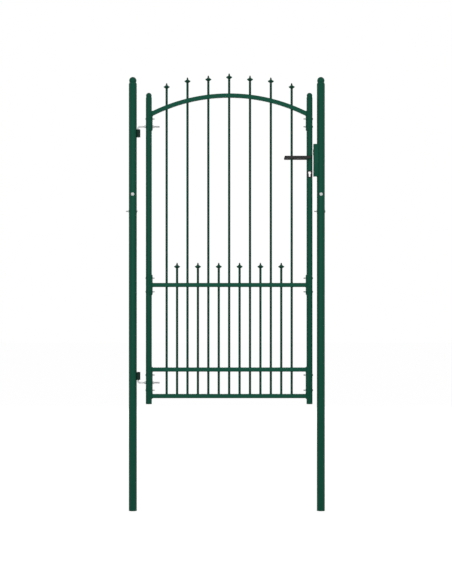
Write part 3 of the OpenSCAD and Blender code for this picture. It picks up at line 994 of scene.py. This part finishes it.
postBolt = {
    "head": 10 * mm, "headHeight": 4.5 * mm, "thread": 4 * mm, "pitch": 1.25 * mm,
    "threadFrom": 46 * mm, "length": 65 * mm, "nutAcross": 13 * mm, "nutHeight": 4 * mm,
    "frontZ": 1898 * mm, "sideZ": 1796 * mm,
}
clampBolt = {
    "head": 6.5 * mm, "headHeight": 3.3 * mm, "thread": 3 * mm, "pitch": 1.0 * mm,
    "threadFrom": 38 * mm, "length": 54 * mm, "nutAcross": 10 * mm, "nutHeight": 5 * mm,
    "heights": [z * mm for z in (723, 814, 1313, 1395, 2350)], "latchHeight": 2303 * mm,
}


# A round-headed bolt up its own Z axis: its head is under 0 and its thread runs to its length
def roundHeadBolt(name, size):
    core = size["thread"] - 0.6 * size["pitch"]
    edge = 0.5 * mm
    ball = (size["head"] ** 2 + size["headHeight"] ** 2) / (2 * size["headHeight"])
    centreZ = ball - size["headHeight"]
    lean = math.degrees(math.asin((centreZ + edge) / ball))
    outline = arc((0, centreZ), ball, -90, -lean, 12)
    outline += arc((size["head"] - 0.7 * edge, -0.7 * edge), 0.6 * edge, -20, 90, 4)
    shank = turned("boltShank", outline + [
        (core, 0), (core, size["length"] - 0.5 * mm),
        (core - 0.5 * mm, size["length"]), (0, size["length"])], 36)
    run = size["length"] - size["threadFrom"] - 0.7 * mm
    screw = thread("boltThread", size["thread"], size["pitch"], run)
    aim(screw, (0, 0, size["threadFrom"]), "+Z")
    return joined(name, [shank, screw])


postBoltPlaces = []
postNutPlaces = []
for x in (hingePostX, latchPostX):
    frontZ = postBolt["frontZ"]
    sideZ = postBolt["sideZ"]
    postBoltPlaces += [((x, -postRadius, frontZ), "+Y"), ((x + postRadius, 0, sideZ), "-X")]
    postNutPlaces += [((x, postRadius, frontZ), "+Y"), ((x - postRadius, 0, sideZ), "-X")]
dress(copies(roundHeadBolt("postBolt", postBolt), "postCarriageBolts", postBoltPlaces),
      "posts", "zinc_plate", "post_bolts")
dress(copies(hexNut("postNut", postBolt["nutAcross"], postBolt["nutHeight"], postBolt["thread"]),
             "postHexNuts", postNutPlaces), "posts", "zinc_plate", "post_nuts")

latchHeights = clampBolt["heights"] + [clampBolt["latchHeight"]]
hingeHeads = [((hingeStileX - stileRadius, 0, z), "+X") for z in clampBolt["heights"]]
latchHeads = [((latchStileX + stileRadius, 0, z), "-X") for z in latchHeights]
clampNutPlaces = [((hingeStileX + saddleRadius, 0, z), "+X") for z in clampBolt["heights"]]
clampNutPlaces += [((latchStileX - saddleRadius, 0, z), "-X") for z in latchHeights]
dress(copies(roundHeadBolt("clampBolt", clampBolt), "hingeSideClampBolts", hingeHeads),
      "leaf", "zinc_plate", "hinge_side_bolts")
dress(copies(roundHeadBolt("clampBolt", clampBolt), "latchSideClampBolts", latchHeads),
      "leaf", "green_coat", "latch_side_bolts")
dress(copies(hexNut("clampNut", clampBolt["nutAcross"], clampBolt["nutHeight"], clampBolt["thread"]),
             "clampHexNuts", clampNutPlaces), "leaf", "zinc_plate", "clamp_nuts")
print("bolts and nuts made")


# Hinge rods: a smooth pin in the sleeve, a bend, and a long thread with two nuts

rod = {
    "radius": 5 * mm, "bend": 10 * mm, "pitch": 1.5 * mm, "threadFrom": 62 * mm, "end": 161 * mm,
    "nutAcross": 17 * mm, "nutHeight": 8 * mm, "edge": 0.8 * mm,
}


def hingeRod(name, node, down):
    low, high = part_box(node)
    height = high.z - rod["radius"] if down else low.z + rod["radius"]
    pinEnd = low.z if down else high.z
    side = -1 if down else 1
    bend = rod["bend"]
    turn = arc((pinX + bend, height + side * bend), bend, 180, 180 + side * 90, 10)
    path = [(pinX, 0, pinEnd)] + [(x, 0, z) for x, z in turn]
    path += [(rod["threadFrom"] + 2 * mm, 0, height)]
    bar = barAlong("rodBar", path, rod["radius"], resolution=10)
    bevelSharp(bar, rod["edge"], 2, 60)
    core = rod["radius"] - 0.6 * rod["pitch"]
    run = rod["end"] - rod["threadFrom"]
    screw = thread("rodThread", rod["radius"], rod["pitch"], run - 0.8 * mm, 24)
    tip = turned("rodTip", [
        (0, 0), (core, 0), (core, run - 0.6 * mm), (core - 0.6 * mm, run), (0, run)], 24)
    for part in (screw, tip):
        aim(part, (rod["threadFrom"], 0, height), "+X")
    return smooth(joined(name, [bar, screw, tip]))


dress(hingeRod("upperHingeRod", "upper_hinge_bolt", True), "leaf", "zinc_plate", "upper_hinge_bolt")
dress(hingeRod("lowerHingeRod", "lower_hinge_bolt", False), "leaf", "zinc_plate", "lower_hinge_bolt")
rodHeights = (
    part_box("upper_hinge_bolt")[1].z - rod["radius"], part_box("lower_hinge_bolt")[0].z + rod["radius"])
rodNutPlaces = [((x, 0, z), "+X") for z in rodHeights
                for x in (hingeStileX - stileRadius - rod["nutHeight"], hingeStileX + saddleRadius)]
dress(copies(hexNut("rodNut", rod["nutAcross"], rod["nutHeight"], rod["radius"]),
             "hingeHexNuts", rodNutPlaces), "leaf", "zinc_plate", "hinge_nuts")
print("hinge rods made")


# Lock: case, curved forend with its screws, roses and latch

lock = {
    "behind": 13 * mm, "front": 13.5 * mm, "halfDeep": 8 * mm, "edge": 1.0 * mm,
    "lowZ": 1990 * mm, "highZ": 2180 * mm,
    "screw": 3.6 * mm, "screwIn": 8 * mm, "crossWide": 1.0 * mm, "crossLong": 4.4 * mm,
    "rose": 14 * mm, "roseDrop": 16 * mm, "roseFront": 24.5 * mm, "roseBack": 10 * mm,
    "roseEdge": 1.4 * mm, "roseCutterTall": 200 * mm,
    "latchHalfDeep": 6 * mm, "latchGap": 0.3 * mm, "latchSlant": (3.5 * mm, 7 * mm),
}


def block(name, low, high):
    bpy.ops.object.select_all(action="DESELECT")
    low = Vector(low)
    high = Vector(high)
    bpy.ops.mesh.primitive_cube_add(size=1, location=(low + high) / 2, scale=high - low)
    return settle(name)


# A countersunk screw's head with a cross in it, up its own Z axis
def crossScrew(name):
    head = turned(name, [
        (0, -2 * mm), (lock["screw"] - 1.6 * mm, -2 * mm), (lock["screw"], -0.3 * mm),
        (lock["screw"], -0.1 * mm), (lock["screw"] - 0.3 * mm, 0.15 * mm), (0, 0.3 * mm)], 28)
    half = lock["crossWide"] / 2
    reach = lock["crossLong"] / 2
    cutAway(head, block("crossSlot", (-reach, -half, -1.2 * mm), (reach, half, mm)),
            block("crossSlot", (-half, -reach, -1.2 * mm), (half, reach, mm)))
    return smooth(head, math.radians(25))


def lockCase(name):
    box = block("lockBox", (latchStileX - lock["behind"], -lock["halfDeep"], lock["lowZ"]),
                (latchStileX + lock["front"], lock["halfDeep"], lock["highZ"]))
    bevelSharp(box, lock["edge"])
    cutAway(box, keyholeCutter())
    inner = stileRadius - forend["thick"]
    shell = turned("forendShell", [
        (inner, forendLowZ), (stileRadius, forendLowZ), (stileRadius, forendHighZ),
        (inner, forendHighZ), (inner, forendLowZ)], 96)
    aim(shell, (latchStileX, 0, 0), "+Z")
    cover = forendBlock(0)
    combine(shell, cover, "INTERSECT")
    remove(cover)
    latchLow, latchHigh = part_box("latch_bolt")
    gap = lock["latchGap"]
    for part in (box, shell):
        cutAway(part, block("latchHole", (latchLow.x, latchLow.y - gap, latchLow.z - gap),
                            (latchHigh.x + gap, latchHigh.y + gap, latchHigh.z + gap)))
    bevelSharp(shell, 0.3 * mm, 1)
    screws = copies(crossScrew("forendScrew"), "forendScrews", [
        ((latchStileX + stileRadius - 0.1 * mm, 0, z), "+X")
        for z in (forendLowZ + lock["screwIn"], forendHighZ - lock["screwIn"])])
    return smooth(joined(name, [box, shell, screws]), math.radians(25))


def rosePlate(name):
    outline = arc((0, 0), lock["rose"], 0, 180, 32)
    outline += arc((0, -lock["roseDrop"]), lock["rose"], 180, 360, 32)
    rose = plate(name, outline, lock["roseFront"] - lock["roseBack"])
    aim(rose, (latchStileX, -lock["roseBack"], keyholeZ), "-Y")
    cutAway(rose, keyholeCutter())
    bevelSharp(rose, lock["roseEdge"], 3, 60)
    bpy.ops.object.select_all(action="DESELECT")
    bpy.ops.mesh.primitive_cylinder_add(
        vertices=96, radius=stileRadius, depth=lock["roseCutterTall"],
        end_fill_type="NGON", location=(latchStileX, 0, keyholeZ))
    cutAway(rose, settle("stileCutter"))
    return smooth(rose, math.radians(30))


def bothRoses(name):
    front = rosePlate("frontRose")
    selectOnly(front)
    bpy.ops.object.duplicate()
    back = mirrorToBack(bpy.context.object, (latchStileX, 0, keyholeZ))
    return joined(name, [front, back])


def latchTongue(name):
    low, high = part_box("latch_bolt")
    half = lock["latchHalfDeep"]
    slantX, slantY = lock["latchSlant"]
    outline = [(low.x, -half), (high.x, -half), (high.x, half - slantY)]
    outline += [(high.x - slantX, half), (low.x, half)]
    tongue = aim(plate(name, outline, high.z - low.z), (0, 0, low.z), "+Z")
    bevelSharp(tongue, 0.5 * mm, 2, 30)
    return smooth(tongue, math.radians(30))


dress(lockCase("lockCaseAndForend"), "leaf", "lock_steel", "lock_case")
dress(bothRoses("keyholeRoses"), "leaf", "black_plastic", "cylinder_roses")
# the latch takes the paler steel, painted light
dress(latchTongue("latchTongue"), "latch", "lock_steel", "latch_bolt", finish=litLatchFinish)
print("lock made")


# Levers: a hub with a waist and a bar grip with round edges and corners

lever = {
    "hub": 8.2 * mm, "neck": 7.7 * mm, "neckIn": 14 * mm, "hubBack": 18.6 * mm, "waist": 6.8 * mm,
    "gripBack": 40 * mm, "gripThick": 13 * mm, "reach": 151 * mm, "corner": 3.6 * mm, "edge": 4.6 * mm,
}


# The lever up its own +Z from the stile's axis, with its grip towards its own -X
def leverModel(name):
    hub = lever["hub"]
    reach = lever["reach"]
    outline = arc((0, 0), hub, -90, 90, 25) + [(-reach, hub), (-reach, -hub)]
    grip = aim(plate("leverGrip", outline, lever["gripThick"]), (0, 0, lever["gripBack"]), "+Z")
    pickEdges(grip, lambda a, b: max(a.x, b.x) < mm - reach and abs(a.z - b.z) > mm)
    bpy.ops.mesh.bevel(offset=lever["corner"], segments=4)
    leaveEdit()
    bevelSharp(grip, lever["edge"], 6, 50)
    back = lever["hubBack"]
    top = lever["gripBack"]
    outline = [(0, lever["neckIn"]), (lever["neck"], lever["neckIn"]), (lever["neck"], back)]
    outline += arc((hub - 0.8 * mm, back + 0.8 * mm), 0.8 * mm, -90, 0, 4)
    waist = lever["waist"]
    outline += bow((hub, back + 3 * mm), (waist, back + 4 * mm), (waist, back + 8 * mm), 7)
    outline += bow((waist, top - 6 * mm), (waist, top), (hub - 0.6 * mm, top + 3 * mm), 7)
    outline += [(hub - 3 * mm, top + 5 * mm), (0, top + 5 * mm)]
    return smooth(joined(name, [turned("leverHub", outline), grip]), math.radians(30))


# The front lever faces -Y and the back one +Y, both with the grip towards the hinges
frontLever = aim(leverModel("frontLeverHandle"), (latchStileX, 0, leverZ), "-Y")
backLever = aim(leverModel("backLeverHandle"), (latchStileX, 0, leverZ), "-Y")
mirrorToBack(backLever, (latchStileX, 0, leverZ))
dress(frontLever, "lever", "black_plastic", "front_lever")
dress(backLever, "lever", "black_plastic", "back_lever")
print("levers made")
